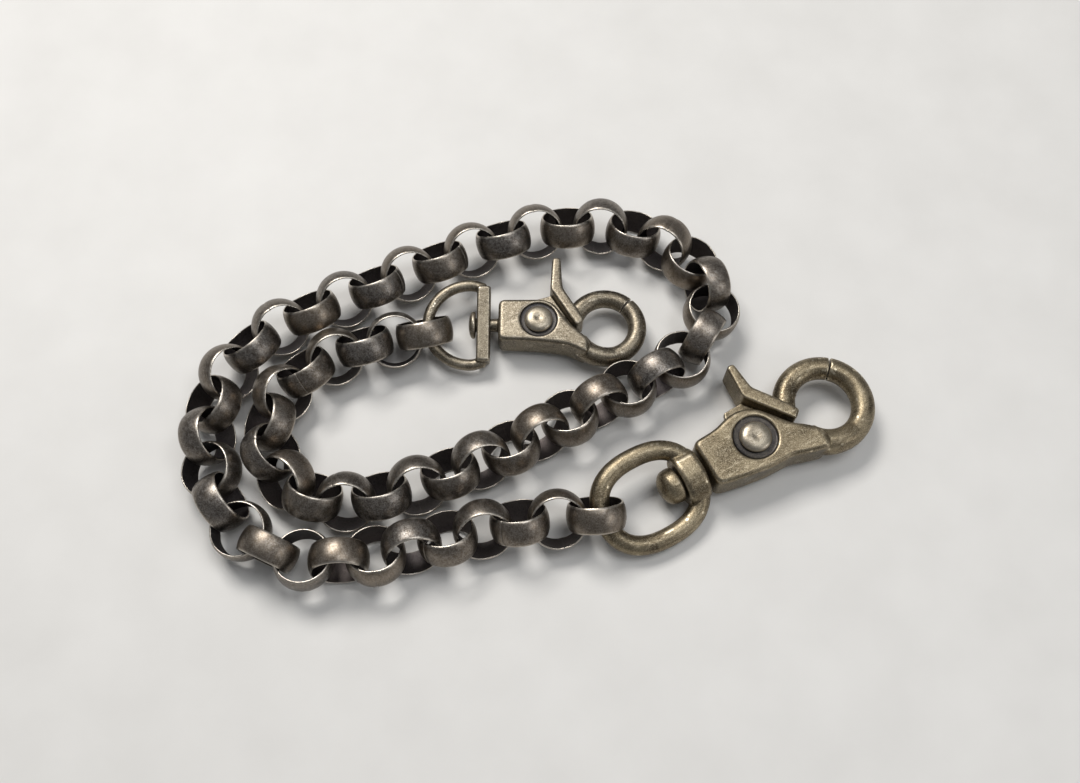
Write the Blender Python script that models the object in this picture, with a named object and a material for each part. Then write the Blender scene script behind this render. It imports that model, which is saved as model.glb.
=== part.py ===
"""Biker's wallet chain: a belcher (rolo) chain of domed ring links laid in a
double loop, with a small trigger snap hook on one end and a large one on the
other. Each hook has a cast body, a swivelling eye on a headed post, a sprung
gate with a thumb lever, a pivot rivet and a torsion spring.

Lengths below are millimetres; the meshes are written in metres, +Z up.
"""

import math

import bmesh
import bpy
import numpy as np
from mathutils import Matrix, Vector

MM = 0.001

# ---------------------------------------------------------------- link
LINK_R = 6.5           # outer radius at the crown of the dome
LINK_WIDTH = 5.7       # width of the band
LINK_WALL = 0.62       # strip thickness
LINK_DOME = 0.68       # how far the band's edges fall below the crown
LINK_RIM = 0.30        # thickness of the thinned edges
LINK_SEGMENTS = 12
LINK_COUNT = 56
TACK_R = 0.45          # little bridge inside a pair that shares one solid
PAIRS = (12, 16, 31, 34, 37, 53)   # first link of each pair

# Route of the chain on the ground: (link number, x, y). Links between two
# stations follow a natural cubic through them.
ROUTE = (
    (1, -26.3, 13.7), (4, -45.7, 7.1), (6, -56.1, -2.3), (8, -57.0, -16.0),
    (10, -46.9, -25.5), (13, -25.2, -21.9), (17, 0.4, -8.8), (20, 19.3, 2.6),
    (22, 31.2, 10.1), (24, 38.0, 22.2), (26, 33.1, 34.8), (29, 12.4, 43.0),
    (33, -17.1, 35.4), (37, -45.0, 21.4), (40, -64.2, 8.6),
    (42, -70.8, -5.3), (44, -69.1, -20.4), (46, -61.1, -33.3),
    (48, -47.4, -39.0), (51, -25.3, -35.3), (54, -3.1, -29.2),
    (56, 12.9, -26.9),
)
# Roll of the odd links about the run, in degrees: 45 leans left, 90 stands,
# 135 leans right. An even link is a quarter turn on from the link before.
ROLL = ((1, 60), (4, 45), (12, 45), (22, 90), (31, 135), (41, 135), (48, 90),
        (52, 60), (56, 30))
TWIST_SHARE = (0.55, -0.5)   # how the twist splits between odd and even links
SAG = 0.9              # how far a flat link drops between standing ones
LEAN = 3.0             # in a 25 degree bend, links stand up by this much
LIFT = 0.3             # and those that lean out of it ride up by this much

# ---------------------------------------------------------------- hooks
# Local axes of a hook: origin on the rivet, +x to the nose, +y to the lever.
LARGE = dict(
    name="large", place=(46.4, -9.0), turn=31.0, height=5.5, lean=20.0,
    hang=(-36.71, 1.76),
    body=((-12.5, -5.4), (-12.5, 5.4), (-6.4, 5.8), (-3.2, 6.9), (0.4, 7.2),
          (3.8, 5.7), (6.2, 2.8), (9.0, -0.8), (11.4, -2.4), (14.2, -5.0),
          (13.6, -9.6), (9.2, -8.6), (5.2, -7.3), (0.0, -7.4), (-6.4, -6.6)),
    half=4.3, bevel=1.1,
    loop=(18.7, 0.2), loop_r=8.75, arm_r=2.6, tip=50.0,
    slot=(-6.6, -4.9, 1.9),
    blade=((10.2, -0.6), (12.2, 1.0), (9.4, 5.4), (5.7, 10.4), (5.2, 17.0),
           (3.4, 17.0), (2.7, 9.2)),
    blade_half=3.9,
    tail=((9.6, 1.2), (3.4, 9.1), (-1.6, 8.9), (-3.9, 3.4)), tail_r=4.3,
    tail_z=(-1.6, 0.2),
    rivet_r=2.0, head_r=3.5, head_h=1.1, boss_r=5.0,
    post_r=2.0, knob=(-18.95, -23.3, 4.0),
)
SMALL = dict(
    name="small", place=(-1.0, 17.5), turn=2.0, height=4.7, lean=10.0,
    hang=(-24.76, -1.61),
    body=((-9.0, -5.0), (-9.0, 5.0), (-4.0, 5.1), (0.8, 5.2), (3.2, 4.4),
          (5.2, 1.9), (7.2, -0.9), (9.2, -2.6), (11.4, -4.7), (10.9, -8.2),
          (6.4, -6.0), (0.0, -5.3), (-4.5, -5.1)),
    half=3.6, bevel=0.9,
    loop=(15.1, -0.3), loop_r=7.25, arm_r=2.1, tip=48.0,
    slot=(-5.0, -3.9, 1.7),
    blade=((8.5, -1.2), (10.3, 0.3), (8.0, 4.2), (5.4, 8.4), (5.0, 16.0),
           (3.1, 16.0), (2.6, 8.0)),
    blade_half=3.2,
    tail=((8.0, 0.4), (3.1, 7.7), (-1.0, 6.4), (-3.2, 2.6)), tail_r=3.4,
    tail_z=(-1.4, 0.2),
    rivet_r=1.6, head_r=3.15, head_h=0.95, boss_r=4.2,
    post_r=1.5, knob=(-14.2, -15.7, 3.1),
)
PLAY = 0.3             # clearance between pieces that turn on each other
WIRE_LARGE = 2.15      # half the wire of the oval eye
OVAL = (-25.7, 11.1, 9.2, 0.84)   # centre x, half length, half width, fullness
COLLAR = (-18.6, -13.3, 5.9, 4.5)   # from x, to x, half width, half height
WIRE_SMALL = 1.3
DEE = (-15.4, 9.5, 9.3)        # arc centre x, reach, half width
BAR = (-13.9, -10.8, 8.8, 2.3)      # from x, to x, half width, half height
SPRING_WIRE = 0.13
SPRING_TURNS = 2.0

COLOURS = dict(
    link=((0.20, 0.18, 0.17), 0.42, 0.9),
    casting=((0.33, 0.27, 0.17), 0.40, 0.9),
    rivet=((0.42, 0.36, 0.27), 0.35, 0.9),
    spring=((0.30, 0.30, 0.31), 0.35, 0.9),
)


# ---------------------------------------------------------------- helpers
def material(name):
    found = bpy.data.materials.get(name)
    if found:
        return found
    colour, rough, metal = COLOURS[name]
    mat = bpy.data.materials.new(name)
    mat.use_nodes = True
    shader = mat.node_tree.nodes["Principled BSDF"]
    shader.inputs["Base Color"].default_value = (*colour, 1.0)
    shader.inputs["Roughness"].default_value = rough
    shader.inputs["Metallic"].default_value = metal
    return mat


def mesh_from(name, points, faces, mat):
    mesh = bpy.data.meshes.new(name)
    mesh.from_pydata([tuple(c * MM for c in p) for p in points], [], faces)
    bm = bmesh.new()
    bm.from_mesh(mesh)
    bmesh.ops.recalc_face_normals(bm, faces=bm.faces)
    bm.to_mesh(mesh)
    bm.free()
    mesh.materials.append(material(mat))
    mesh.shade_smooth()
    mesh.set_sharp_from_angle(angle=math.radians(35))
    return mesh


def add(name, mesh, parent=None, tool=False):
    obj = bpy.data.objects.new(name, mesh)
    bpy.context.scene.collection.objects.link(obj)
    if parent is not None:
        obj.parent = parent
    if tool:
        obj.hide_render = True
        obj.display_type = "WIRE"
    return obj


def empty(name, matrix, parent=None):
    obj = bpy.data.objects.new(name, None)
    bpy.context.scene.collection.objects.link(obj)
    obj.empty_display_size = 0.004
    obj.parent = parent
    obj.matrix_local = matrix
    return obj


def boolean(target, tool, operation):
    mod = target.modifiers.new(operation.lower() + "_" + tool.name, "BOOLEAN")
    mod.object = tool
    mod.operation = operation
    mod.solver = "EXACT"


def grid_faces(rows, columns, close_rows):
    """Quads over a rows x columns grid of points whose columns wrap round."""
    faces = []
    for i in range(rows if close_rows else rows - 1):
        a, b = i * columns, ((i + 1) % rows) * columns
        for j in range(columns):
            k = (j + 1) % columns
            faces.append((a + j, a + k, b + k, b + j))
    if not close_rows:
        faces.append(tuple(range(columns - 1, -1, -1)))
        faces.append(tuple(range((rows - 1) * columns, rows * columns)))
    return faces


def prism(outline, low, high, bevel=0.0):
    """Upright prism over an outline, its top and bottom edges chamfered."""
    if bevel:
        layers = ((low, bevel), (low + bevel, 0.0),
                  (high - bevel, 0.0), (high, bevel))
    else:
        layers = ((low, 0.0), (high, 0.0))
    points = []
    for z, inset in layers:
        points += [(x, y, z) for x, y in shrink(outline, inset)]
    return points, grid_faces(len(layers), len(outline), False)


def shrink(outline, distance):
    """Move every corner of an outline inwards, square to its neighbours."""
    if not distance:
        return list(outline)
    area = sum(a[0] * b[1] - b[0] * a[1]
               for a, b in zip(outline, outline[1:] + outline[:1]))
    side = 1.0 if area > 0 else -1.0
    moved = []
    for k, corner in enumerate(outline):
        before = Vector(corner) - Vector(outline[k - 1])
        after = Vector(outline[(k + 1) % len(outline)]) - Vector(corner)
        n1 = Vector((-before.y, before.x)).normalized() * side
        n2 = Vector((-after.y, after.x)).normalized() * side
        mid = (n1 + n2).normalized()
        step = distance / max(0.6, mid.dot(n1))
        moved.append((corner[0] + mid.x * step, corner[1] + mid.y * step))
    return moved


def tangent(path, k, closed):
    """Direction of a flat path at point k, also true at its two ends."""
    count = len(path)
    if closed or 0 < k < count - 1:
        run = Vector(path[(k + 1) % count]) - Vector(path[k - 1])
        return run.normalized()
    near, far = (0, 2) if k == 0 else (count - 1, count - 3)
    mid = (near + far) // 2
    first = Vector(path[mid]) - Vector(path[near])
    second = Vector(path[far]) - Vector(path[mid])
    run = first.normalized() * 1.5 - second.normalized() * 0.5
    return (run if k == 0 else -run).normalized()


def sweep(path, sizes, sides, closed):
    """Tube along a flat path; sizes gives (in plane, upright) half sizes."""
    points = []
    count = len(path)
    for k, (x, y) in enumerate(path):
        run = tangent(path, k, closed)
        across = Vector((-run.y, run.x))
        wide, tall = sizes[k]
        for j in range(sides):
            a = 2 * math.pi * (j + 0.5) / sides
            c, s = math.cos(a) / math.cos(math.pi / sides), math.sin(a)
            points.append((x + across.x * wide * c, y + across.y * wide * c,
                           tall * s))
    return points, grid_faces(count, sides, closed)


def turned(profile, sides, axis):
    """Solid turned from (position along axis, radius) pairs, pole to pole."""
    rings = [p for p in profile if p[1] > 0]
    points = []
    for along, radius in rings:
        for j in range(sides):
            a = 2 * math.pi * j / sides
            u, v = radius * math.cos(a), radius * math.sin(a)
            points.append((along, u, v) if axis == "x" else (u, v, along))
    return points, grid_faces(len(rings), sides, False)


def arc(centre, radius, start, stop, count):
    return [(centre[0] + radius * math.cos(math.radians(a)),
             centre[1] + radius * math.sin(math.radians(a)))
            for a in np.linspace(start, stop, count)]


# ---------------------------------------------------------------- chain
def natural_cubic(knots, values, at):
    """Natural cubic through (knots, values), read at each place in at."""
    x = np.array(knots, float)
    y = np.array(values, float)
    h = np.diff(x)
    n = len(x)
    lhs = np.eye(n)
    rhs = np.zeros(n)
    for i in range(1, n - 1):
        lhs[i, i - 1:i + 2] = h[i - 1], 2 * (h[i - 1] + h[i]), h[i]
        rhs[i] = 6 * ((y[i + 1] - y[i]) / h[i] - (y[i] - y[i - 1]) / h[i - 1])
    m = np.linalg.solve(lhs, rhs)
    out = []
    for t in at:
        i = int(min(max(np.searchsorted(x, t) - 1, 0), n - 2))
        a, b = x[i + 1] - t, t - x[i]
        out.append(m[i] * a ** 3 / (6 * h[i]) + m[i + 1] * b ** 3 / (6 * h[i])
                   + (y[i] / h[i] - m[i] * h[i] / 6) * a
                   + (y[i + 1] / h[i] - m[i + 1] * h[i] / 6) * b)
    return np.array(out)


def link_profile():
    """Section of the band as (along ring axis, radius), going round."""
    half, edge = LINK_WIDTH / 2, LINK_R - LINK_DOME
    return ((-half, edge), (-half * 0.5, LINK_R - 0.1),
            (half * 0.5, LINK_R - 0.1), (half, edge),
            (half - 0.05, edge - LINK_RIM), (0.0, LINK_R - LINK_WALL),
            (-half + 0.05, edge - LINK_RIM))


def link_frames():
    """One matrix a link: X along the run, Y across the ring, Z its axis."""
    number = np.arange(1, LINK_COUNT + 1)
    knots = [s[0] for s in ROUTE]
    px = natural_cubic(knots, [s[1] for s in ROUTE], number)
    py = natural_cubic(knots, [s[2] for s in ROUTE], number)
    heading = np.unwrap(np.arctan2(np.diff(py), np.diff(px)))
    bend = np.zeros(LINK_COUNT)
    bend[1:-1] = np.degrees(np.diff(heading)) / 25.0
    share = np.where(number < LINK_COUNT / 2 + 8, *TWIST_SHARE)
    base = number - share * (number % 2 == 0)
    roll = np.interp(base, [r[0] for r in ROLL], [r[1] for r in ROLL])
    roll = np.radians(roll + 90.0 * (number % 2 == 0))
    roll += np.radians(LEAN) * np.abs(bend) * np.sin(2 * roll)
    leftwards = np.cos(roll) * np.sign(np.sin(roll) + 1e-9)
    rest = np.array([max(r * abs(math.sin(a)) + abs(w) * abs(math.cos(a))
                         for w, r in link_profile()) for a in roll])
    height = rest.copy()
    height[1:-1] = np.maximum(rest[1:-1], (rest[:-2] + rest[2:]) / 2 - SAG)
    height += LIFT * np.clip(-bend * leftwards * 1.4, 0.0, 1.2)
    frames = []
    for i in range(LINK_COUNT):
        a, b = max(i - 1, 0), min(i + 1, LINK_COUNT - 1)
        run = Vector((px[b] - px[a], py[b] - py[a], 0)).normalized()
        left = Vector((-run.y, run.x, 0))
        across = left * math.cos(roll[i]) + Vector((0, 0, math.sin(roll[i])))
        normal = run.cross(across)
        frame = Matrix((run, across, normal)).transposed().to_4x4()
        frame.translation = Vector((px[i], py[i], height[i])) * MM
        frames.append(frame)
    return frames


def build_chain(root):
    profile = link_profile()
    points = []
    for k in range(LINK_SEGMENTS):
        a = 2 * math.pi * k / LINK_SEGMENTS
        points += [(r * math.cos(a), r * math.sin(a), w) for w, r in profile]
    mesh = mesh_from("link", points,
                     grid_faces(LINK_SEGMENTS, len(profile), True), "link")
    frames = link_frames()
    middle = LINK_COUNT // 2
    number = 1
    while number <= LINK_COUNT:
        pair = number in PAIRS
        last = number + 1 if pair else number
        # the joint lies between this solid and its neighbour on the side of
        # the chain's middle link
        here, there = ((last, last + 1) if number < middle
                       else (number, number - 1))
        if number <= middle <= last:
            pivot = frames[number - 1].copy()
        else:
            pivot = joint_frame(frames[here - 1], frames[there - 1])
        name = (f"link_{number:02d}_{last:02d}" if pair
                else f"link_{number:02d}")
        hinge = empty("pivot_" + name, pivot, root)
        obj = add(name, mesh, hinge)
        obj.matrix_local = pivot.inverted() @ frames[number - 1]
        if pair:
            second = add(name + "_second", mesh, hinge, tool=True)
            second.matrix_local = pivot.inverted() @ frames[last - 1]
            a = frames[number - 1] @ Vector(((LINK_R - LINK_WALL * 0.5) * MM,
                                             0, 0))
            b = frames[last - 1] @ Vector((-(LINK_R - LINK_WALL * 0.5) * MM,
                                           0, 0))
            bridge = add(name + "_bridge", tack((b - a).length / MM), hinge,
                         tool=True)
            turn = Vector((1, 0, 0)).rotation_difference(b - a)
            place = turn.to_matrix().to_4x4()
            place.translation = (a + b) / 2
            bridge.matrix_local = pivot.inverted() @ place
            boolean(obj, bridge, "UNION")
            boolean(obj, second, "UNION")
        number = last + 1
    return frames


def joint_frame(one, other):
    """Frame half way between two links: X along the run, Y level across."""
    run = other.translation - one.translation
    run.z = 0
    run.normalize()
    left = Vector((-run.y, run.x, 0))
    frame = Matrix((run, left, Vector((0, 0, 1)))).transposed().to_4x4()
    frame.translation = (one.translation + other.translation) / 2
    return frame


def tack(length):
    points, faces = turned(((-length / 2, TACK_R), (length / 2, TACK_R)),
                           6, "x")
    return mesh_from("bridge", points, faces, "link")


# ---------------------------------------------------------------- hooks
def build_hook(spec, root):
    name = spec["name"]
    half = spec["half"]
    frame = Matrix.Rotation(math.radians(spec["turn"]), 4, "Z")
    frame.translation = Vector((*spec["place"], spec["height"])) * MM
    hook = empty(name + "_hook_frame", frame, root)

    def solid(label, shape, mat, tool=False, parent=hook):
        return add(f"{name}_{label}", mesh_from(label, *shape, mat), parent,
                   tool)

    # body: chamfered casting, hook arm, swivel post and its peened head
    body = solid("body", prism(spec["body"], -half, half, spec["bevel"]),
                 "casting")
    thick, tip = spec["arm_r"], spec["tip"]
    gap = math.degrees(PLAY / 2 / spec["loop_r"])
    path = arc(spec["loop"], spec["loop_r"], 212, 360 + tip - gap, 17)
    sizes = []
    for k in range(len(path)):
        grow = max(0.0, 1 - k / 6)
        sizes.append((thick * (1 + 0.15 * grow),
                      thick + (half * 0.86 - thick) * grow ** 0.8))
    boolean(body, solid("arm", sweep(path, sizes, 10, False), "casting",
                        True), "UNION")
    start, stop, radius = spec["knob"]
    end = spec["body"][0][0]
    post = ((end + 2.0, spec["post_r"]), (start, spec["post_r"]),
            (start, radius * 0.93), (start - 0.15 * radius, radius),
            (start + (stop - start) * 0.55, radius * 0.97),
            (start + (stop - start) * 0.85, radius * 0.68),
            (stop, radius * 0.3))
    boolean(body, solid("post", turned(post, 12, "x"), "casting", True),
            "UNION")
    x0, y0, gap_z = spec["slot"]
    slot = ((x0, y0), (spec["loop"][0], y0), (spec["loop"][0], 14.0),
            (x0, 14.0))
    # the slot stops where the arm leaves the body
    reach = spec["loop"][0] - spec["loop_r"] + thick * 0.6
    slot = ((x0, y0), (reach, y0), (reach, 14.0), (x0, 14.0))
    boolean(body, solid("slot", prism(slot, -gap_z, gap_z), "casting", True),
            "DIFFERENCE")
    bore = turned(((-half - 1, spec["rivet_r"] + PLAY),
                   (half + 1, spec["rivet_r"] + PLAY)), 12, "z")
    boolean(body, solid("bore", bore, "casting", True), "DIFFERENCE")
    for side, label in ((1, "upper"), (-1, "lower")):
        low, high = sorted((side * (half - 0.5), side * (half + 1)))
        recess = turned(((low, spec["boss_r"]), (high, spec["boss_r"])), 20,
                        "z")
        boolean(body, solid(f"{label}_recess", recess, "casting", True),
                "DIFFERENCE")

    # gate: tail plate on the rivet, bent thumb lever and the nose arm
    gate = solid("gate", prism(spec["blade"], -spec["blade_half"],
                               spec["blade_half"], 0.35), "casting")
    tail = list(spec["tail"]) + arc((0, 0), spec["tail_r"], 150, 340, 8)
    boolean(gate, solid("tail", prism(tail, *spec["tail_z"]), "casting",
                        True), "UNION")
    path = arc(spec["loop"], spec["loop_r"], tip + gap, 166, 9)
    sizes = [(thick * 0.98, thick * 0.98)] * len(path)
    boolean(gate, solid("nose", sweep(path, sizes, 10, False), "casting",
                        True), "UNION")
    bore = turned(((-half, spec["rivet_r"] + PLAY),
                   (half, spec["rivet_r"] + PLAY)), 12, "z")
    boolean(gate, solid("gate_bore", bore, "casting", True), "DIFFERENCE")

    # rivet: shank with a low domed head on each side
    shank, head, rise = spec["rivet_r"], spec["head_r"], spec["head_h"]
    seat = half - 0.5 + PLAY
    profile = ((-half - rise, head * 0.45), (-half - rise * 0.72, head * 0.8),
               (-half - rise * 0.2, head), (-seat, head), (-seat, shank),
               (seat, shank), (seat, head), (half + rise * 0.2, head),
               (half + rise * 0.72, head * 0.8), (half + rise, head * 0.45))
    solid("rivet", turned(profile, 14, "z"), "rivet")

    # torsion spring round the shank, above the tail plate
    coil_r = shank + PLAY + SPRING_WIRE + 0.05
    low = spec["tail_z"][1] + PLAY + SPRING_WIRE
    high = gap_z - PLAY - SPRING_WIRE
    path = [Vector((-coil_r - 1.3, -coil_r * 0.2, low)),
            Vector((-coil_r - 0.4, -coil_r * 0.1, low))]
    steps = int(12 * SPRING_TURNS)
    for k in range(steps + 1):
        a = math.pi + 2 * math.pi * SPRING_TURNS * k / steps
        path.append(Vector((coil_r * math.cos(a), coil_r * math.sin(a),
                            low + (high - low) * k / steps)))
    path.append(Vector((-coil_r * 0.9, -coil_r - 0.4, high)))
    solid("spring", wire(path, SPRING_WIRE, 5), "spring")

    # the eye lies with its near side on the ground, and hangs from the end
    # link by the point of its wire that rests in that link
    lean = Matrix.Rotation(math.radians(spec["lean"]), 4, "X")
    point = Matrix.Translation(Vector((*spec["hang"], 0)) * MM)
    hang = empty(name + "_hang", lean @ point, hook)
    swivel = empty(name + "_swivel", point.inverted(), hang)

    def eye_solid(label, shape, mat, tool=False):
        return solid(label, shape, mat, tool, swivel)

    if name == "large":
        build_oval(eye_solid, spec)
    else:
        build_dee(eye_solid, spec)


def wire(path, radius, sides):
    """Round wire along a path of points in space."""
    points = []
    side = Vector((0, 0, 1))
    for k, centre in enumerate(path):
        run = (path[min(k + 1, len(path) - 1)] - path[max(k - 1, 0)])
        run.normalize()
        u = side.cross(run).normalized()
        v = run.cross(u)
        for j in range(sides):
            a = 2 * math.pi * j / sides
            points.append(tuple(centre + (u * math.cos(a) + v * math.sin(a))
                                * radius))
    return points, grid_faces(len(path), sides, False)


def build_oval(solid, spec):
    """Oval eye of round wire with a wide collar round the post."""
    x, a, b, full = OVAL
    path = []
    for t in np.linspace(0, 2 * math.pi, 24, endpoint=False):
        c, s = math.cos(t), math.sin(t)
        path.append((x + a * math.copysign(abs(c) ** full, c),
                     b * math.copysign(abs(s) ** full, s)))
    eye = solid("eye", sweep(path, [(WIRE_LARGE, WIRE_LARGE)] * 24, 8, True),
                "casting")
    x0, x1, wide, tall = COLLAR
    rings = ((x0, 0.93), (x0 + 0.8, 1.0), (x1 - 0.8, 1.0), (x1, 0.93))
    points = []
    for along, grow in rings:
        for j in range(16):
            t = 2 * math.pi * (j + 0.5) / 16
            points.append((along, wide * grow * math.cos(t),
                           tall * grow * math.sin(t)))
    boolean(eye, solid("collar", (points, grid_faces(4, 16, False)),
                       "casting", True), "UNION")
    bore = turned(((x0 - 1, spec["post_r"] + PLAY),
                   (x1 + 1, spec["post_r"] + PLAY)), 12, "x")
    boolean(eye, solid("eye_bore", bore, "casting", True), "DIFFERENCE")


def build_dee(solid, spec):
    """D-shaped eye: round wire closed by a flat bar that the post passes."""
    x, reach, wide = DEE
    x0, x1, bar_y, bar_z = BAR
    mid = (x0 + x1) / 2
    path = [(x + reach * math.cos(math.radians(t)),
             wide * math.sin(math.radians(t)))
            for t in np.linspace(90, 270, 15)]
    path += [(mid - 0.3, -wide + 0.5), (mid, -wide + 1.4), (mid, -4.0),
             (mid, 0.0), (mid, 4.0), (mid, wide - 1.4), (mid - 0.3, wide - 0.5)]
    eye = solid("eye", sweep(path, [(WIRE_SMALL, WIRE_SMALL)] * len(path), 8,
                             True), "casting")
    bar = ((x0, -bar_y + 0.7), (x0 + 0.7, -bar_y), (x1 - 0.7, -bar_y),
           (x1, -bar_y + 0.7), (x1, bar_y - 0.7), (x1 - 0.7, bar_y),
           (x0 + 0.7, bar_y), (x0, bar_y - 0.7))
    boolean(eye, solid("bar", prism(bar, -bar_z, bar_z, 0.5), "casting",
                       True), "UNION")
    bore = turned(((x0 - 1, spec["post_r"] + PLAY),
                   (x1 + 1, spec["post_r"] + PLAY)), 12, "x")
    boolean(eye, solid("eye_bore", bore, "casting", True), "DIFFERENCE")


# ---------------------------------------------------------------- assembly
def bounds():
    graph = bpy.context.evaluated_depsgraph_get()
    low, high = [1e9] * 3, [-1e9] * 3
    for obj in bpy.context.scene.objects:
        if obj.type != "MESH" or obj.hide_render:
            continue
        shape = obj.evaluated_get(graph)
        for v in shape.data.vertices:
            p = shape.matrix_world @ v.co
            low = [min(a, b) for a, b in zip(low, p)]
            high = [max(a, b) for a, b in zip(high, p)]
    return low, high


def main():
    for obj in list(bpy.data.objects):
        bpy.data.objects.remove(obj, do_unlink=True)
    root = empty("layout", Matrix.Identity(4))
    build_chain(root)
    build_hook(LARGE, root)
    build_hook(SMALL, root)
    # the origin is the middle of the layout, on the ground
    bpy.context.view_layer.update()
    low, high = bounds()
    root.location = (-(low[0] + high[0]) / 2, -(low[1] + high[1]) / 2,
                     -low[2])
    bpy.context.view_layer.update()


main()
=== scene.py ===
import math

import bmesh
import bpy
import numpy as np
from mathutils import Matrix, Vector


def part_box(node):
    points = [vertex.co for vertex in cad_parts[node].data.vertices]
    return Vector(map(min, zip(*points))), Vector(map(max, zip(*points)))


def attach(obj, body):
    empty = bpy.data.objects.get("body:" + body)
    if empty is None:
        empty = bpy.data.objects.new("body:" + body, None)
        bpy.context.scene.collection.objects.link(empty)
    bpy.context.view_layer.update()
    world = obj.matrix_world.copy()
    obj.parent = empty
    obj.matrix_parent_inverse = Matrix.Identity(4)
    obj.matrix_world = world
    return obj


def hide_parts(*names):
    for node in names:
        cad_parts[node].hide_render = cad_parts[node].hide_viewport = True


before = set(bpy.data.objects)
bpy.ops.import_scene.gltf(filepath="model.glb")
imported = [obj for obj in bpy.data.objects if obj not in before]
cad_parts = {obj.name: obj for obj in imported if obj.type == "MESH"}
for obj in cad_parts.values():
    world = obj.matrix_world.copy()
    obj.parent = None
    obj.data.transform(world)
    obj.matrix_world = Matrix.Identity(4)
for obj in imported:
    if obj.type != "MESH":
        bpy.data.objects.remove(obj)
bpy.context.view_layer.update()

MM = 0.001

# ------------------------------------------------------------ dimensions, mm
LINK_R, LINK_WIDTH, LINK_WALL, LINK_DOME, LINK_RIM = 6.5, 5.7, 0.62, 0.68, 0.3
LINK_COUNT = 56
PAIRS = (12, 16, 31, 34, 37, 53)
ROUTE = (
    (1, -26.3, 13.7), (4, -45.7, 7.1), (6, -56.1, -2.3), (8, -57.0, -16.0),
    (10, -46.9, -25.5), (13, -25.2, -21.9), (17, 0.4, -8.8), (20, 19.3, 2.6),
    (22, 31.2, 10.1), (24, 38.0, 22.2), (26, 33.1, 34.8), (29, 12.4, 43.0),
    (33, -17.1, 35.4), (37, -45.0, 21.4), (40, -64.2, 8.6),
    (42, -70.8, -5.3), (44, -69.1, -20.4), (46, -61.1, -33.3),
    (48, -47.4, -39.0), (51, -25.3, -35.3), (54, -3.1, -29.2),
    (56, 12.9, -26.9),
)
ROLL = ((1, 60), (4, 45), (12, 45), (22, 90), (31, 135), (41, 135), (48, 90),
        (52, 60), (56, 30))
TWIST_SHARE = (0.55, -0.5)
SAG, LEAN, LIFT = 0.9, 3.0, 0.3

LARGE = dict(
    name="large", place=(46.4, -9.0), turn=31.0, height=5.5, lean=20.0,
    body=((-12.5, -5.4), (-12.5, 5.4), (-6.4, 5.8), (-3.2, 6.9), (0.4, 7.2),
          (3.8, 5.7), (6.2, 2.8), (9.0, -0.8), (11.4, -2.4), (14.2, -5.0),
          (13.6, -9.6), (9.2, -8.6), (5.2, -7.3), (0.0, -7.4), (-6.4, -6.6)),
    half=4.3, bevel=1.1,
    loop=(18.7, 0.2), loop_r=8.75, arm_r=2.6, tip=50.0,
    slot=(-6.6, -4.9, 1.9),
    blade=((10.2, -0.6), (12.2, 1.0), (9.4, 5.4), (5.7, 10.4), (5.2, 17.0),
           (3.4, 17.0), (2.7, 9.2)),
    blade_half=3.9,
    tail=((9.6, 1.2), (3.4, 9.1), (-1.6, 8.9), (-3.9, 3.4)), tail_r=4.3,
    tail_z=(-1.6, 0.2),
    rivet_r=2.0, head_r=3.5, head_h=1.1, boss_r=5.0,
    post_r=2.0, knob=(-18.95, -23.3, 4.0),
)
SMALL = dict(
    name="small", place=(-1.0, 17.5), turn=2.0, height=4.7, lean=10.0,
    body=((-9.0, -5.0), (-9.0, 5.0), (-4.0, 5.1), (0.8, 5.2), (3.2, 4.4),
          (5.2, 1.9), (7.2, -0.9), (9.2, -2.6), (11.4, -4.7), (10.9, -8.2),
          (6.4, -6.0), (0.0, -5.3), (-4.5, -5.1)),
    half=3.6, bevel=0.9,
    loop=(15.1, -0.3), loop_r=7.25, arm_r=2.1, tip=48.0,
    slot=(-5.0, -3.9, 1.7),
    blade=((8.5, -1.2), (10.3, 0.3), (8.0, 4.2), (5.4, 8.4), (5.0, 16.0),
           (3.1, 16.0), (2.6, 8.0)),
    blade_half=3.2,
    tail=((8.0, 0.4), (3.1, 7.7), (-1.0, 6.4), (-3.2, 2.6)), tail_r=3.4,
    tail_z=(-1.4, 0.2),
    rivet_r=1.6, head_r=3.15, head_h=0.95, boss_r=4.2,
    post_r=1.5, knob=(-14.2, -15.7, 3.1),
)
PLAY = 0.3
WIRE_LARGE = 2.15
OVAL = (-25.7, 11.1, 9.2, 0.84)
COLLAR = (-18.6, -13.3, 5.9, 4.5)
WIRE_SMALL = 1.3
DEE = (-15.4, 9.5, 9.3)
BAR = (-13.9, -10.8, 8.8, 2.3)
SPRING_WIRE, SPRING_TURNS = 0.13, 2.0


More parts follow.
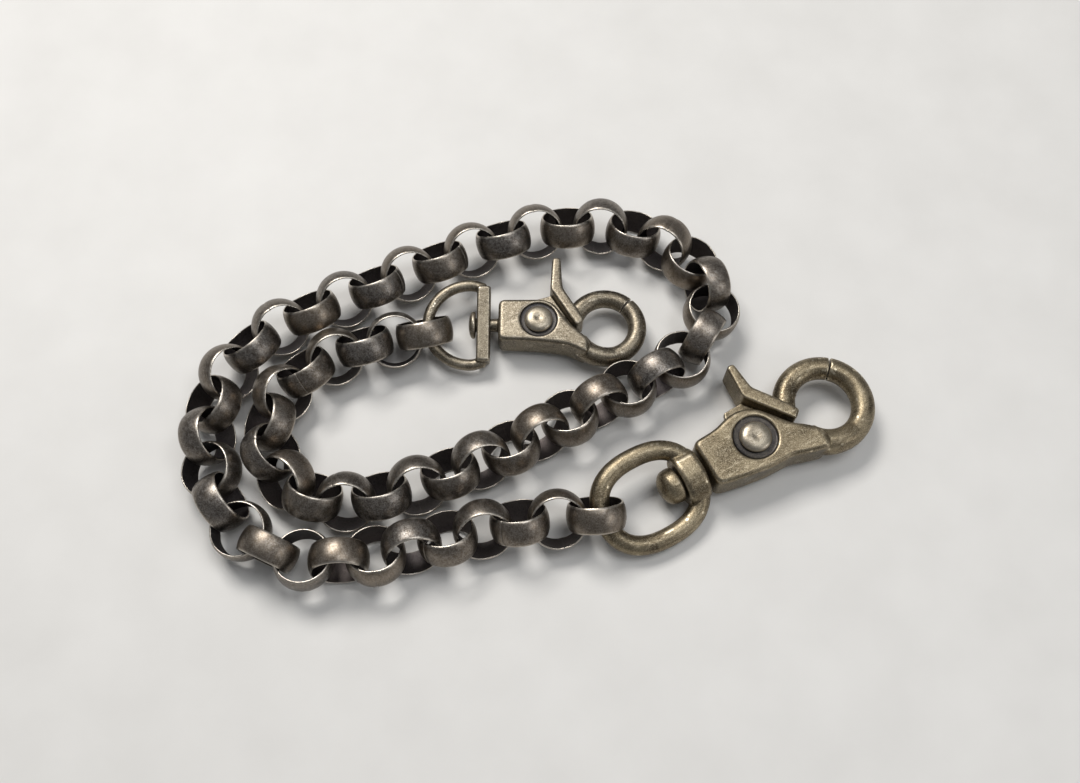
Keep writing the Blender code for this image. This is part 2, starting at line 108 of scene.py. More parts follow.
# ------------------------------------------------------------ materials
class Tree:
    """Small helper that builds a node material."""

    def __init__(self, name):
        self.mat = bpy.data.materials.new(name)
        self.mat.use_nodes = True
        self.tree = self.mat.node_tree
        self.bsdf = self.tree.nodes["Principled BSDF"]

    def node(self, kind, **props):
        made = self.tree.nodes.new(kind)
        for key, value in props.items():
            setattr(made, key, value)
        return made

    def link(self, a, b):
        self.tree.links.new(a, b)

    def coords(self, scale, offset_socket=None):
        coord = self.node("ShaderNodeAttribute", attribute_name="own")
        mapping = self.node("ShaderNodeMapping")
        mapping.inputs["Scale"].default_value = scale
        self.link(coord.outputs["Vector"], mapping.inputs["Vector"])
        if offset_socket is not None:
            self.link(offset_socket, mapping.inputs["Location"])
        return mapping.outputs["Vector"]

    def noise(self, vector, scale, detail=6.0, rough=0.6, distort=0.0):
        made = self.node("ShaderNodeTexNoise")
        made.inputs["Scale"].default_value = scale
        made.inputs["Detail"].default_value = detail
        made.inputs["Roughness"].default_value = rough
        made.inputs["Distortion"].default_value = distort
        self.link(vector, made.inputs["Vector"])
        return made.outputs["Fac"]

    def ramp(self, value, stops):
        made = self.node("ShaderNodeValToRGB")
        band = made.color_ramp
        while len(band.elements) > 1:
            band.elements.remove(band.elements[-1])
        band.elements[0].position = stops[0][0]
        band.elements[0].color = (*stops[0][1], 1)
        for place, colour in stops[1:]:
            element = band.elements.new(place)
            element.color = (*colour, 1)
        self.link(value, made.inputs["Fac"])
        return made.outputs["Color"]

    def mix(self, fac, a, b, mode="MIX"):
        made = self.node("ShaderNodeMix", data_type="RGBA", blend_type=mode)
        for socket, value in ((made.inputs[0], fac), (made.inputs[6], a),
                              (made.inputs[7], b)):
            if isinstance(value, (int, float)):
                socket.default_value = value
            elif isinstance(value, tuple):
                socket.default_value = (*value, 1)
            else:
                self.link(value, socket)
        return made.outputs[2]

    def math(self, operation, a, b=0.0, clamp=False):
        made = self.node("ShaderNodeMath", operation=operation,
                         use_clamp=clamp)
        for socket, value in ((made.inputs[0], a), (made.inputs[1], b)):
            if isinstance(value, (int, float)):
                socket.default_value = value
            else:
                self.link(value, socket)
        return made.outputs[0]

    def span(self, value, lo, hi, to_lo=0.0, to_hi=1.0):
        made = self.node("ShaderNodeMapRange", clamp=True)
        for key, number in (("From Min", lo), ("From Max", hi),
                            ("To Min", to_lo), ("To Max", to_hi)):
            made.inputs[key].default_value = number
        self.link(value, made.inputs["Value"])
        return made.outputs["Result"]

    def attribute(self, name):
        return self.node("ShaderNodeAttribute",
                         attribute_name=name).outputs["Fac"]

    def random_offset(self):
        info = self.node("ShaderNodeObjectInfo")
        made = self.node("ShaderNodeVectorMath", operation="SCALE")
        made.inputs[0].default_value = (17.0, 31.0, 23.0)
        self.link(info.outputs["Random"], made.inputs["Scale"])
        return made.outputs["Vector"], info.outputs["Random"]

    def bump(self, height, strength, distance, normal=None):
        made = self.node("ShaderNodeBump")
        made.inputs["Strength"].default_value = strength
        made.inputs["Distance"].default_value = distance
        self.link(height, made.inputs["Height"])
        if normal is not None:
            self.link(normal, made.inputs["Normal"])
        return made.outputs["Normal"]

    def pointiness(self, lo, hi):
        geometry = self.node("ShaderNodeNewGeometry")
        return self.span(geometry.outputs["Pointiness"], lo, hi)


def link_material():
    t = Tree("link_patina")
    shift, random = t.random_offset()
    fine = t.coords((1, 1, 1), shift)
    mottle = t.noise(fine, 1500.0, 8.0, 0.75)
    cloud = t.noise(fine, 190.0, 5.0, 0.6, 0.6)
    speck = t.noise(fine, 4200.0, 3.0, 0.65)
    brush = t.noise(t.coords((40, 40, 2600), shift), 1.0, 4.0, 0.6)
    tone = t.ramp(cloud, ((0.30, (0.060, 0.050, 0.042)),
                          (0.50, (0.142, 0.122, 0.102)),
                          (0.68, (0.240, 0.208, 0.172))))
    tone = t.mix(t.span(mottle, 0.42, 0.68), tone, (0.300, 0.280, 0.262))
    tone = t.mix(t.span(speck, 0.54, 0.66, 0.0, 0.85), tone,
                 (0.040, 0.034, 0.030))
    tone = t.mix(t.span(speck, 0.46, 0.34, 0.0, 0.65), tone,
                 (0.42, 0.385, 0.345))
    warm = t.mix(t.span(random, 0.0, 1.0, 0.0, 0.35), tone,
                 (0.26, 0.20, 0.135))
    rim = t.attribute("rim")
    inside = t.attribute("inside")
    worn = t.math("MULTIPLY", rim, t.span(mottle, 0.30, 0.55, 0.45, 1.0))
    tone = t.mix(worn, warm, (0.58, 0.53, 0.46))
    # painted shade: the ring's inner faces and its seam gap are darkened to a
    # cool near-black
    tone = t.mix(t.math("MULTIPLY", inside, 0.82), tone,
                 (0.042, 0.036, 0.040))
    t.link(tone, t.bsdf.inputs["Base Color"])
    t.bsdf.inputs["Metallic"].default_value = 1.0
    rough = t.span(mottle, 0.3, 0.7, 0.30, 0.47)
    rough = t.math("ADD", rough, t.math("MULTIPLY", inside, 0.16))
    rough = t.math("SUBTRACT", rough, t.math("MULTIPLY", worn, 0.12))
    rough = t.math("ADD", rough, t.span(speck, 0.58, 0.72, 0.0, 0.16))
    t.link(rough, t.bsdf.inputs["Roughness"])
    normal = t.bump(mottle, 0.28, 0.00008)
    normal = t.bump(brush, 0.16, 0.00005, normal)
    normal = t.bump(speck, 0.18, 0.00003, normal)
    t.link(normal, t.bsdf.inputs["Normal"])
    return t.mat


def cast_material(name, deep, body, light, bright, edge=(0.505, 0.56),
                  recess=None):
    """Antique plating: dark in the hollows, bright on worn edges. recess is the
    radius and height of the sunk ring round the rivet, whose crevice is painted
    with shade."""
    t = Tree(name)
    shift, random = t.random_offset()
    fine = t.coords((1, 1, 1), shift)
    grain = t.noise(fine, 1700.0, 8.0, 0.75)
    cloud = t.noise(fine, 150.0, 6.0, 0.62, 0.8)
    pit = t.noise(fine, 4300.0, 3.0, 0.6)
    streak = t.noise(t.coords((500, 1500, 500), shift), 1.0, 4.0, 0.6)
    tone = t.ramp(cloud, ((0.28, deep), (0.47, body), (0.66, light)))
    tone = t.mix(t.span(grain, 0.42, 0.68, 0.0, 0.7), tone, light)
    tone = t.mix(t.span(streak, 0.56, 0.70, 0.0, 0.4), tone, bright)
    tone = t.mix(t.span(pit, 0.54, 0.67, 0.0, 0.75), tone, deep)
    tone = t.mix(t.span(pit, 0.46, 0.33, 0.0, 0.55), tone, bright)
    high = t.pointiness(*edge)
    low = t.pointiness(0.492, 0.455)
    worn = t.math("MULTIPLY", high, t.span(grain, 0.30, 0.55, 0.5, 1.0))
    tone = t.mix(worn, tone, bright)
    tone = t.mix(t.math("MULTIPLY", low, 0.85), tone,
                 tuple(c * 0.35 for c in deep))
    # painted shade: the crevice of the sunk ring round the rivet is darkened to
    # a cool near-black
    if recess:
        place_on = t.node("ShaderNodeSeparateXYZ")
        t.link(t.coords((1000, 1000, 1000)), place_on.inputs[0])
        x, y, z = place_on.outputs
        away = t.math("SQRT", t.math("ADD", t.math("MULTIPLY", x, x),
                                     t.math("MULTIPLY", y, y)))
        ring = t.span(away, recess[0] + 0.25, recess[0] - 0.1)
        sunk = t.span(t.math("ABSOLUTE", z), recess[1] - 0.15,
                      recess[1] - 0.35)
        recess_shade = t.math("MULTIPLY", ring, sunk)
        tone = t.mix(t.math("MULTIPLY", recess_shade, 0.8), tone,
                     (0.022, 0.024, 0.032))
    t.link(tone, t.bsdf.inputs["Base Color"])
    t.bsdf.inputs["Metallic"].default_value = 1.0
    rough = t.span(cloud, 0.3, 0.7, 0.34, 0.50)
    rough = t.math("ADD", rough, t.span(pit, 0.58, 0.74, 0.0, 0.14))
    rough = t.math("SUBTRACT", rough, t.math("MULTIPLY", worn, 0.13))
    rough = t.math("ADD", rough, t.math("MULTIPLY", low, 0.22))
    t.link(rough, t.bsdf.inputs["Roughness"])
    normal = t.bump(cloud, 0.25, 0.00035)
    normal = t.bump(grain, 0.22, 0.00007, normal)
    normal = t.bump(pit, 0.14, 0.00003, normal)
    t.link(normal, t.bsdf.inputs["Normal"])
    return t.mat


def spring_material():
    t = Tree("spring_wire")
    fine = t.coords((1, 1, 1))
    grain = t.noise(fine, 2200.0, 4.0, 0.6)
    tone = t.ramp(grain, ((0.3, (0.13, 0.13, 0.14)),
                          (0.7, (0.32, 0.32, 0.33))))
    t.link(tone, t.bsdf.inputs["Base Color"])
    t.bsdf.inputs["Metallic"].default_value = 1.0
    t.link(t.span(grain, 0.3, 0.7, 0.25, 0.42), t.bsdf.inputs["Roughness"])
    t.link(t.bump(grain, 0.2, 0.00003), t.bsdf.inputs["Normal"])
    return t.mat


def floor_material():
    t = Tree("floor_pale")
    place_on = t.node("ShaderNodeTexCoord").outputs["Object"]
    grain = t.noise(place_on, 60.0, 4.0, 0.5)
    tone = t.ramp(grain, ((0.3, (0.66, 0.645, 0.62)),
                          (0.7, (0.70, 0.685, 0.66))))
    t.link(tone, t.bsdf.inputs["Base Color"])
    t.bsdf.inputs["Roughness"].default_value = 0.55
    return t.mat


LINK = link_material()
CAST_LARGE = cast_material("antique_brass", (0.048, 0.035, 0.022),
                           (0.150, 0.118, 0.074), (0.285, 0.235, 0.155),
                           (0.60, 0.52, 0.38), recess=(5.0, 4.3))
CAST_SMALL = cast_material("antique_nickel", (0.045, 0.036, 0.026),
                           (0.140, 0.116, 0.083), (0.275, 0.238, 0.178),
                           (0.58, 0.52, 0.42), recess=(4.2, 3.6))
RIVET = cast_material("rivet_head", (0.070, 0.056, 0.040),
                      (0.190, 0.160, 0.118), (0.330, 0.290, 0.225),
                      (0.60, 0.54, 0.44))
SPRING = spring_material()


# ------------------------------------------------------------ mesh helpers
def mesh_from(name, points, faces, mat, smooth=True):
    mesh = bpy.data.meshes.new(name)
    mesh.from_pydata([tuple(c * MM for c in p) for p in points], [], faces)
    bm = bmesh.new()
    bm.from_mesh(mesh)
    bmesh.ops.recalc_face_normals(bm, faces=bm.faces)
    bm.to_mesh(mesh)
    bm.free()
    mesh.materials.append(mat)
    if smooth:
        mesh.shade_smooth()
    return mesh


def place(name, mesh, matrix):
    obj = bpy.data.objects.new(name, mesh)
    bpy.context.scene.collection.objects.link(obj)
    obj.matrix_world = matrix
    return obj


def grid_faces(rows, columns, close_rows):
    faces = []
    for i in range(rows if close_rows else rows - 1):
        a, b = i * columns, ((i + 1) % rows) * columns
        for j in range(columns):
            k = (j + 1) % columns
            faces.append((a + j, a + k, b + k, b + j))
    if not close_rows:
        faces.append(tuple(range(columns - 1, -1, -1)))
        faces.append(tuple(range((rows - 1) * columns, rows * columns)))
    return faces


def rounded(outline, radius, steps=6):
    """Outline with every corner replaced by a small curve."""
    out = []
    count = len(outline)
    for k in range(count):
        a, b, c = (Vector(outline[k - 1]), Vector(outline[k]),
                   Vector(outline[(k + 1) % count]))
        r = min(radius, (a - b).length * 0.48, (c - b).length * 0.48)
        start, stop = b + (a - b).normalized() * r, b + (c - b).normalized() * r
        for i in range(steps + 1):
            t = i / steps
            p = start * (1 - t) ** 2 + b * 2 * t * (1 - t) + stop * t * t
            out.append((p.x, p.y))
    return out


def shrink(outline, distance):
    if not distance:
        return list(outline)
    area = sum(a[0] * b[1] - b[0] * a[1]
               for a, b in zip(outline, outline[1:] + outline[:1]))
    side = 1.0 if area > 0 else -1.0
    moved = []
    for k, corner in enumerate(outline):
        before = Vector(corner) - Vector(outline[k - 1])
        after = Vector(outline[(k + 1) % len(outline)]) - Vector(corner)
        n1 = Vector((-before.y, before.x)).normalized() * side
        n2 = Vector((-after.y, after.x)).normalized() * side
        mid = (n1 + n2).normalized()
        step = distance / max(0.6, mid.dot(n1))
        moved.append((corner[0] + mid.x * step, corner[1] + mid.y * step))
    return moved


def slab(outline, low, high, bevel, corner=1.2, steps=5):
    """Plate over an outline, its edges rounded over."""
    outline = rounded(list(outline), corner)
    layers = []
    for i in range(steps + 1):
        a = math.pi / 2 * i / steps
        layers.append((low + bevel * (1 - math.sin(a)),
                       bevel * (1 - math.cos(a))))
    layers = layers[::-1]
    layers = ([(low + bevel * (1 - math.cos(math.pi / 2 * i / steps)),
                bevel * (1 - math.sin(math.pi / 2 * i / steps)))
               for i in range(steps + 1)]
              + [(high - bevel * (1 - math.sin(math.pi / 2 * i / steps)),
                  bevel * (1 - math.cos(math.pi / 2 * i / steps)))
                 for i in range(steps + 1)])
    points = []
    for z, inset in layers:
        points += [(x, y, z) for x, y in shrink(outline, inset)]
    return points, grid_faces(len(layers), len(outline), False)


def sweep(path, sizes, sides, closed):
    points = []
    count = len(path)
    for k, (x, y) in enumerate(path):
        if closed:
            a, b = path[k - 1], path[(k + 1) % count]
        else:
            a, b = path[max(k - 1, 0)], path[min(k + 1, count - 1)]
        run = (Vector(b) - Vector(a)).normalized()
        across = Vector((-run.y, run.x))
        wide, tall = sizes[k]
        for j in range(sides):
            t = 2 * math.pi * (j + 0.5) / sides
            c, s = math.cos(t), math.sin(t)
            points.append((x + across.x * wide * c, y + across.y * wide * c,
                           tall * s))
    return points, grid_faces(count, sides, closed)


def turned(profile, sides, axis):
    rings = [p for p in profile if p[1] > 0]
    points = []
    for along, radius in rings:
        for j in range(sides):
            a = 2 * math.pi * j / sides
            u, v = radius * math.cos(a), radius * math.sin(a)
            points.append((along, u, v) if axis == "x" else (u, v, along))
    return points, grid_faces(len(rings), sides, False)


def arc(centre, radius, start, stop, count):
    return [(centre[0] + radius * math.cos(math.radians(a)),
             centre[1] + radius * math.sin(math.radians(a)))
            for a in np.linspace(start, stop, count)]


def settle(obj):
    """Put a piece's place into its mesh; its own coordinates stay with it."""
    mesh = obj.data
    co = np.zeros(len(mesh.vertices) * 3, np.float32)
    mesh.vertices.foreach_get("co", co)
    own = mesh.attributes.new("own", "FLOAT_VECTOR", "POINT")
    own.data.foreach_set("vector", co)
    mesh.transform(obj.matrix_world)
    obj.matrix_world = Matrix.Identity(4)
    bpy.context.view_layer.update()


def cast(name, base, unions, cuts, mat, matrix, voxel, passes):
    """One casting: joined and cut shapes, with every edge softened."""
    obj = place(name, mesh_from(name, *base, mat), matrix)
    tools = []
    for group, operation in ((unions, "UNION"), (cuts, "DIFFERENCE")):
        for k, shape in enumerate(group):
            tool = place(f"{name}_tool", mesh_from("tool", *shape, mat),
                         matrix)
            mod = obj.modifiers.new(f"{operation}_{k}", "BOOLEAN")
            mod.operation = operation
            mod.object = tool
            mod.solver = "EXACT"
            tools.append(tool)
    remesh = obj.modifiers.new("fillet", "REMESH")
    remesh.mode = "VOXEL"
    remesh.voxel_size = voxel * MM
    smooth = obj.modifiers.new("soften", "SMOOTH")
    smooth.factor = 0.5
    smooth.iterations = passes
    bpy.context.view_layer.update()
    graph = bpy.context.evaluated_depsgraph_get()
    done = bpy.data.meshes.new_from_object(obj.evaluated_get(graph))
    obj.modifiers.clear()
    obj.data = done
    done.materials.clear()
    done.materials.append(mat)
    done.shade_smooth()
    for tool in tools:
        bpy.data.objects.remove(tool, do_unlink=True)
    return obj


# ------------------------------------------------------------ chain
def natural_cubic(knots, values, at):
    x = np.array(knots, float)
    y = np.array(values, float)
    h = np.diff(x)
    n = len(x)
    lhs = np.eye(n)
    rhs = np.zeros(n)
    for i in range(1, n - 1):
        lhs[i, i - 1:i + 2] = h[i - 1], 2 * (h[i - 1] + h[i]), h[i]
        rhs[i] = 6 * ((y[i + 1] - y[i]) / h[i] - (y[i] - y[i - 1]) / h[i - 1])
    m = np.linalg.solve(lhs, rhs)
    out = []
    for t in at:
        i = int(min(max(np.searchsorted(x, t) - 1, 0), n - 2))
        a, b = x[i + 1] - t, t - x[i]
        out.append(m[i] * a ** 3 / (6 * h[i]) + m[i + 1] * b ** 3 / (6 * h[i])
                   + (y[i] / h[i] - m[i] * h[i] / 6) * a
                   + (y[i + 1] / h[i] - m[i + 1] * h[i] / 6) * b)
    return np.array(out)


def coarse_profile():
    half, edge = LINK_WIDTH / 2, LINK_R - LINK_DOME
    return ((-half, edge), (-half * 0.5, LINK_R - 0.1),
            (half * 0.5, LINK_R - 0.1), (half, edge),
            (half - 0.05, edge - LINK_RIM), (0.0, LINK_R - LINK_WALL),
            (-half + 0.05, edge - LINK_RIM))


def link_frames():
    number = np.arange(1, LINK_COUNT + 1)
    knots = [s[0] for s in ROUTE]
    px = natural_cubic(knots, [s[1] for s in ROUTE], number)
    py = natural_cubic(knots, [s[2] for s in ROUTE], number)
    heading = np.unwrap(np.arctan2(np.diff(py), np.diff(px)))
    bend = np.zeros(LINK_COUNT)
    bend[1:-1] = np.degrees(np.diff(heading)) / 25.0
    share = np.where(number < LINK_COUNT / 2 + 8, *TWIST_SHARE)
    base = number - share * (number % 2 == 0)
    roll = np.interp(base, [r[0] for r in ROLL], [r[1] for r in ROLL])
    roll = np.radians(roll + 90.0 * (number % 2 == 0))
    roll += np.radians(LEAN) * np.abs(bend) * np.sin(2 * roll)
    leftwards = np.cos(roll) * np.sign(np.sin(roll) + 1e-9)
    rest = np.array([max(r * abs(math.sin(a)) + abs(w) * abs(math.cos(a))
                         for w, r in coarse_profile()) for a in roll])
    height = rest.copy()
    height[1:-1] = np.maximum(rest[1:-1], (rest[:-2] + rest[2:]) / 2 - SAG)
    height += LIFT * np.clip(-bend * leftwards * 1.4, 0.0, 1.2)
    frames = []
    for i in range(LINK_COUNT):
        a, b = max(i - 1, 0), min(i + 1, LINK_COUNT - 1)
        run = Vector((px[b] - px[a], py[b] - py[a], 0)).normalized()
        left = Vector((-run.y, run.x, 0))
        across = left * math.cos(roll[i]) + Vector((0, 0, math.sin(roll[i])))
        normal = run.cross(across)
        made = Matrix((run, across, normal)).transposed().to_4x4()
        made.translation = Vector((px[i], py[i], height[i])) * MM
        frames.append(made)
    return frames


def fine_profile():
    """Band section going round: (along ring axis, radius, rim, inside)."""
    half, edge = LINK_WIDTH / 2, LINK_R - LINK_DOME
    crown = LINK_R - 0.10
    out = []
    for s in np.linspace(-0.97, 0.97, 15):
        rise = (crown - edge) * (1 - abs(s) ** 2.3)
        rim = max(0.0, (abs(s) - 0.90) / 0.07) * 0.75
        out.append((s * half, edge + rise, rim, 0.0))
    low = edge - LINK_RIM
    for k in range(1, 5):
        a = math.pi * k / 5
        out.append((half - 0.10 + 0.10 * math.sin(a),
                    (edge + low) / 2 + (edge - low) / 2 * math.cos(a), 1.0,
                    0.0))
    for s in np.linspace(0.94, -0.94, 9):
        rise = (LINK_R - LINK_WALL - low) * (1 - abs(s) ** 2)
        out.append((s * half, low + rise, 0.25 if abs(s) > 0.9 else 0.0, 1.0))
    for k in range(1, 5):
        a = math.pi * (1 - k / 5)
        out.append((-half + 0.10 - 0.10 * math.sin(a),
                    (edge + low) / 2 + (edge - low) / 2 * math.cos(a), 1.0,
                    0.0))
    return out


def link_mesh(number, rng):
    """One ring bent from strip: nearly round, with its butt seam."""
    profile = fine_profile()
    seam = rng.uniform(0, 360)
    angles = sorted([seam + d for d in (-1.6, -0.7, -0.3, 0.0, 0.3, 0.7, 1.6)]
                    + [seam + a for a in np.linspace(4, 356, 96)])
    oval = rng.uniform(-0.006, 0.001)
    phase = rng.uniform(0, 180)
    dents = [(rng.integers(3, 8), rng.uniform(0.002, 0.010),
              rng.uniform(0, 6.28)) for _ in range(3)]
    points, rims, insides = [], [], []
    for angle in angles:
        a = math.radians(angle)
        scale = 1 + oval * (1 + math.cos(2 * (a - math.radians(phase)))) / 2
        dent = sum(d * (math.cos(n * a + p) - 1) for n, d, p in dents)
        off = abs((angle - seam + 180) % 360 - 180)
        notch = 0.13 if off < 0.1 else 0.05 if off < 0.5 else 0.0
        flat = 0.10 * max(0.0, 1 - off / 16) ** 2
        for w, r, rim, inside in profile:
            move = dent * 0.6 - flat
            r2 = r * scale + move
            if inside < 0.5:
                r2 -= notch
            points.append((r2 * math.cos(a), r2 * math.sin(a), w))
            rims.append(min(1.0, rim + (0.25 if 0.1 < off < 0.8 else 0.0)))
            # the seam gap is flagged as inside too, so it receives the painted
            # shade
            insides.append(1.0 if notch > 0.1 else inside)
    mesh = mesh_from(f"link_{number:02d}_ring", points,
                     grid_faces(len(angles), len(profile), True), LINK)
    for label, values in (("rim", rims), ("inside", insides)):
        layer = mesh.attributes.new(label, "FLOAT", "POINT")
        layer.data.foreach_set("value", values)
    return mesh


def body_of(number):
    for p in PAIRS:
        if number in (p, p + 1):
            return f"link_{p:02d}_{p + 1:02d}"
    return f"link_{number:02d}"


FRAMES = link_frames()
low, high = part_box("link_28")
SHIFT = (low + high) / 2 - FRAMES[27].translation
SHIFT.z = 0.0
for number in range(1, LINK_COUNT + 1):
    rng = np.random.default_rng(9000 + number)
    matrix = Matrix.Translation(SHIFT) @ FRAMES[number - 1]
    body = body_of(number)
    ring = place(f"ring_{number:02d}", link_mesh(number, rng), matrix)
    settle(ring)
    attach(ring, body)
    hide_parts(body)


# ------------------------------------------------------------ hooks
def build_hook(spec, mat):
    name, half = spec["name"], spec["half"]
    hook = Matrix.Translation(SHIFT) @ Matrix.Translation(
        Vector((*spec["place"], spec["height"])) * MM) @ Matrix.Rotation(
        math.radians(spec["turn"]), 4, "Z")
    thick, tip = spec["arm_r"], spec["tip"]
    gap = math.degrees(PLAY / 2 / spec["loop_r"])

    # body
    base = slab(spec["body"], -half, half, spec["bevel"],
                spec["bevel"] + 0.6)
    path = arc(spec["loop"], spec["loop_r"], 212, 360 + tip - gap, 90)
    sizes = []
    for k in range(len(path)):
        grow = max(0.0, 1 - k / 34)
        sizes.append((thick * (1 + 0.15 * grow),
                      thick + (half * 0.86 - thick) * grow ** 0.8))
    start, stop, radius = spec["knob"]
    end = spec["body"][0][0]
    post = [(end + 2.0, spec["post_r"]), (start, spec["post_r"])]
    span = stop - start
    for t, r in ((0.0, 0.90), (0.03, 0.96), (0.12, 1.0), (0.35, 1.0),
                 (0.55, 0.97), (0.72, 0.86), (0.86, 0.68), (0.95, 0.46),
                 (1.0, 0.30)):
        post.append((start + span * t, radius * r))
    unions = [sweep(path, sizes, 28, False), turned(post, 40, "x")]
    x0, y0, gap_z = spec["slot"]
    reach = spec["loop"][0] - spec["loop_r"] + thick * 0.6
    slot = ((x0, y0), (reach, y0), (reach, 14.0), (x0, 14.0))
    points = [(x, y, z) for z in (-gap_z, gap_z) for x, y in slot]
    cuts = [(points, grid_faces(2, 4, False))]
    cuts.append(turned(((-half - 1, spec["rivet_r"] + PLAY),
                        (half + 1, spec["rivet_r"] + PLAY)), 40, "z"))
    for side in (1, -1):
        a, b = sorted((side * (half - 0.55), side * (half + 1)))
        cuts.append(turned(((a, spec["boss_r"]), (b, spec["boss_r"])), 56,
                           "z"))
    body = cast(f"{name}_body_casting", base, unions, cuts, mat, hook,
                0.2 if name == "large" else 0.16, 16)
    settle(body)
    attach(body, f"{name}_body")
    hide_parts(f"{name}_body")

    # gate
    base = slab(spec["blade"], -spec["blade_half"], spec["blade_half"], 0.55,
                0.8)
    tail = list(spec["tail"]) + arc((0, 0), spec["tail_r"], 150, 340, 24)
    points = [(x, y, z) for z in spec["tail_z"] for x, y in tail]
    path = arc(spec["loop"], spec["loop_r"], tip + gap, 166, 50)
    unions = [(points, grid_faces(2, len(tail), False)),
              sweep(path, [(thick * 0.98, thick * 0.98)] * len(path), 28,
                    False)]
    cuts = [turned(((-half, spec["rivet_r"] + PLAY),
                    (half, spec["rivet_r"] + PLAY)), 40, "z")]
    gate = cast(f"{name}_gate_casting", base, unions, cuts, mat, hook,
                0.16 if name == "large" else 0.14, 10)
    settle(gate)
    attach(gate, f"{name}_gate")
    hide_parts(f"{name}_gate")

    # rivet
    shank, head, rise = spec["rivet_r"], spec["head_r"], spec["head_h"]
    seat = half - 0.5 + PLAY
    dome = [(0.0, 1.0), (0.22, 1.0), (0.45, 0.96), (0.66, 0.88),
            (0.84, 0.74), (0.95, 0.56), (1.0, 0.40), (0.97, 0.26),
            (0.90, 0.14), (0.86, 0.03)]
    top = [(seat + (half + rise - seat) * t, head * r) for t, r in dome]
    profile = ([(-z, r) for z, r in top[::-1]] + [(-seat, shank),
               (seat, shank)] + top)
    rivet = place(f"{name}_rivet_turned", mesh_from(
        f"{name}_rivet", *turned(profile, 72, "z"), RIVET), hook)
    rivet.data.set_sharp_from_angle(angle=math.radians(50))
    settle(rivet)
    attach(rivet, f"{name}_body")
    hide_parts(f"{name}_rivet")

    # torsion spring
    coil = shank + PLAY + SPRING_WIRE + 0.05
    z0 = spec["tail_z"][1] + PLAY + SPRING_WIRE
    z1 = gap_z - PLAY - SPRING_WIRE
    path = [Vector((-coil - 1.3, -coil * 0.2, z0)),
            Vector((-coil - 0.4, -coil * 0.1, z0))]
    steps = int(40 * SPRING_TURNS)
    for k in range(steps + 1):
        a = math.pi + 2 * math.pi * SPRING_TURNS * k / steps
        path.append(Vector((coil * math.cos(a), coil * math.sin(a),
                            z0 + (z1 - z0) * k / steps)))
    path.append(Vector((-coil * 0.9, -coil - 0.4, z1)))
    points = []
    up = Vector((0, 0, 1))
    for k, centre in enumerate(path):
        run = path[min(k + 1, len(path) - 1)] - path[max(k - 1, 0)]
        run.normalize()
        u = up.cross(run).normalized()
        v = run.cross(u)
        for j in range(10):
            a = 2 * math.pi * j / 10
            points.append(tuple(centre + (u * math.cos(a) + v * math.sin(a))
                                * SPRING_WIRE))
    spring = place(f"{name}_spring_coil", mesh_from(
        f"{name}_spring", points, grid_faces(len(path), 10, False), SPRING),
        hook)
    settle(spring)
    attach(spring, f"{name}_body")
    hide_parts(f"{name}_spring")

    # eye
    tilted = hook @ Matrix.Rotation(math.radians(spec["lean"]), 4, "X")
    bore_r = spec["post_r"] + PLAY
    if name == "large":
        x, a, b, full = OVAL
        path = []
        for t in np.linspace(0, 2 * math.pi, 160, endpoint=False):
            c, s = math.cos(t), math.sin(t)
            path.append((x + a * math.copysign(abs(c) ** full, c),
                         b * math.copysign(abs(s) ** full, s)))
        base = sweep(path, [(WIRE_LARGE, WIRE_LARGE)] * 160, 24, True)
        x0, x1, wide, tall = COLLAR
        rings = ((x0, 0.90), (x0 + 0.25, 0.95), (x0 + 0.9, 1.0),
                 (x1 - 0.9, 1.0), (x1 - 0.25, 0.95), (x1, 0.90))
        points = []
        for along, grow in rings:
            for j in range(56):
                t = 2 * math.pi * (j + 0.5) / 56
                points.append((along, wide * grow * math.cos(t),
                               tall * grow * math.sin(t)))
        unions = [(points, grid_faces(len(rings), 56, False))]
    else:
        x, reach, wide = DEE
        x0, x1, bar_y, bar_z = BAR
        mid = (x0 + x1) / 2
        path = [(x + reach * math.cos(math.radians(t)),
                 wide * math.sin(math.radians(t)))
                for t in np.linspace(90, 270, 80)]
        path += [(x + 0.8, -wide + 0.05), (mid - 0.3, -wide + 0.6),
                 (mid, -wide + 1.5)]
        path += [(mid, y) for y in np.linspace(-wide + 2.5, wide - 2.5, 10)]
        path += [(mid, wide - 1.5), (mid - 0.3, wide - 0.6),
                 (x + 0.8, wide - 0.05)]
        base = sweep(path, [(WIRE_SMALL, WIRE_SMALL)] * len(path), 20, True)
        bar = ((x0, -bar_y), (x1, -bar_y), (x1, bar_y), (x0, bar_y))
        unions = [slab(bar, -bar_z, bar_z, 0.6, 0.7)]
    cuts = [turned(((x0 - 1, bore_r), (x1 + 1, bore_r)), 40, "x")]
    eye = cast(f"{name}_eye_casting", base, unions, cuts, mat, tilted,
               0.2 if name == "large" else 0.16, 5)
    settle(eye)
    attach(eye, f"{name}_eye")
    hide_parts(f"{name}_eye")


build_hook(LARGE, CAST_LARGE)
build_hook(SMALL, CAST_SMALL)

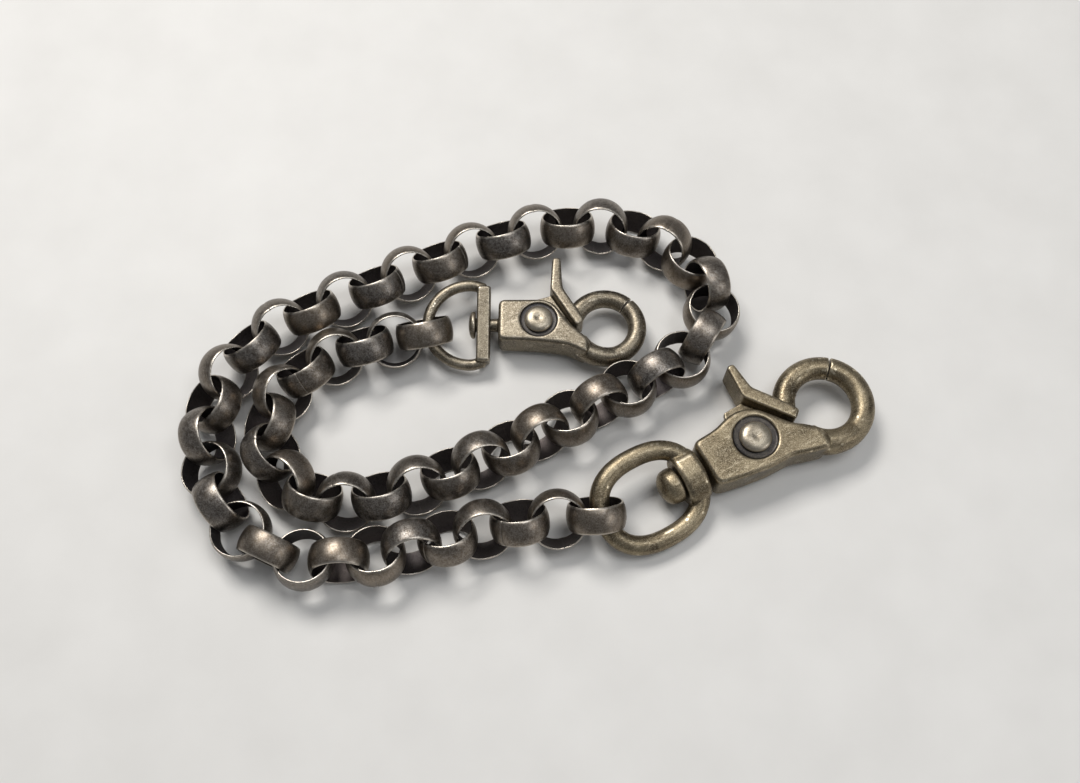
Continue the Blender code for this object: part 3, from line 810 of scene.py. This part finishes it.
# ------------------------------------------------------------ stage
floor_mesh = bpy.data.meshes.new("floor")
floor_mesh.from_pydata([(-2, -2, 0), (2, -2, 0), (2, 2, 0), (-2, 2, 0)], [],
                       [(0, 1, 2, 3)])
floor_mesh.materials.append(floor_material())
floor = bpy.data.objects.new("floor", floor_mesh)
floor.location.z = -0.00005
bpy.context.scene.collection.objects.link(floor)


def softbox(name, location, target, size, power, colour=(1, 1, 1)):
    light = bpy.data.lights.new(name, "AREA")
    light.shape = "RECTANGLE"
    light.size, light.size_y = size
    light.energy = power
    light.color = colour
    obj = bpy.data.objects.new(name, light)
    obj.location = location
    obj.rotation_euler = (Vector(target) - Vector(location)).to_track_quat(
        "-Z", "Y").to_euler()
    bpy.context.scene.collection.objects.link(obj)


softbox("key", (-0.30, 0.45, 0.75), (0, 0, 0), (0.42, 0.30), 6.5,
        (1.0, 0.98, 0.95))
softbox("top", (0.25, 0.05, 0.85), (0, 0, 0), (0.35, 0.5), 2.2,
        (0.96, 0.98, 1.0))
softbox("side", (0.7, -0.3, 0.4), (0, 0, 0), (0.3, 0.3), 0.9)

world = bpy.data.worlds.new("studio")
world.use_nodes = True
shade = world.node_tree.nodes["Background"]
shade.inputs["Color"].default_value = (0.86, 0.89, 0.93, 1)
shade.inputs["Strength"].default_value = 0.24
bpy.context.scene.world = world

# camera: looks down at the coil, about 67 degrees below the level
ELEVATION, ROLLED = math.radians(67.24), math.radians(2.42)
forward = Vector((0, math.cos(ELEVATION), -math.sin(ELEVATION)))
right0 = Vector((1, 0, 0))
up0 = right0.cross(forward)
right = right0 * math.cos(ROLLED) + up0 * math.sin(ROLLED)
up = up0 * math.cos(ROLLED) - right0 * math.sin(ROLLED)
camera_data = bpy.data.cameras.new("camera")
camera_data.lens = 39.607
camera_data.sensor_width = 36.0
camera_data.clip_start = 0.01
camera = bpy.data.objects.new("camera", camera_data)
pose = Matrix((right, up, -forward)).transposed().to_4x4()
pose.translation = Vector((SHIFT.x, SHIFT.y - 0.100, 0.24654))
camera.matrix_world = pose
bpy.context.scene.collection.objects.link(camera)
bpy.context.scene.camera = camera

bpy.context.scene.view_settings.view_transform = "Standard"
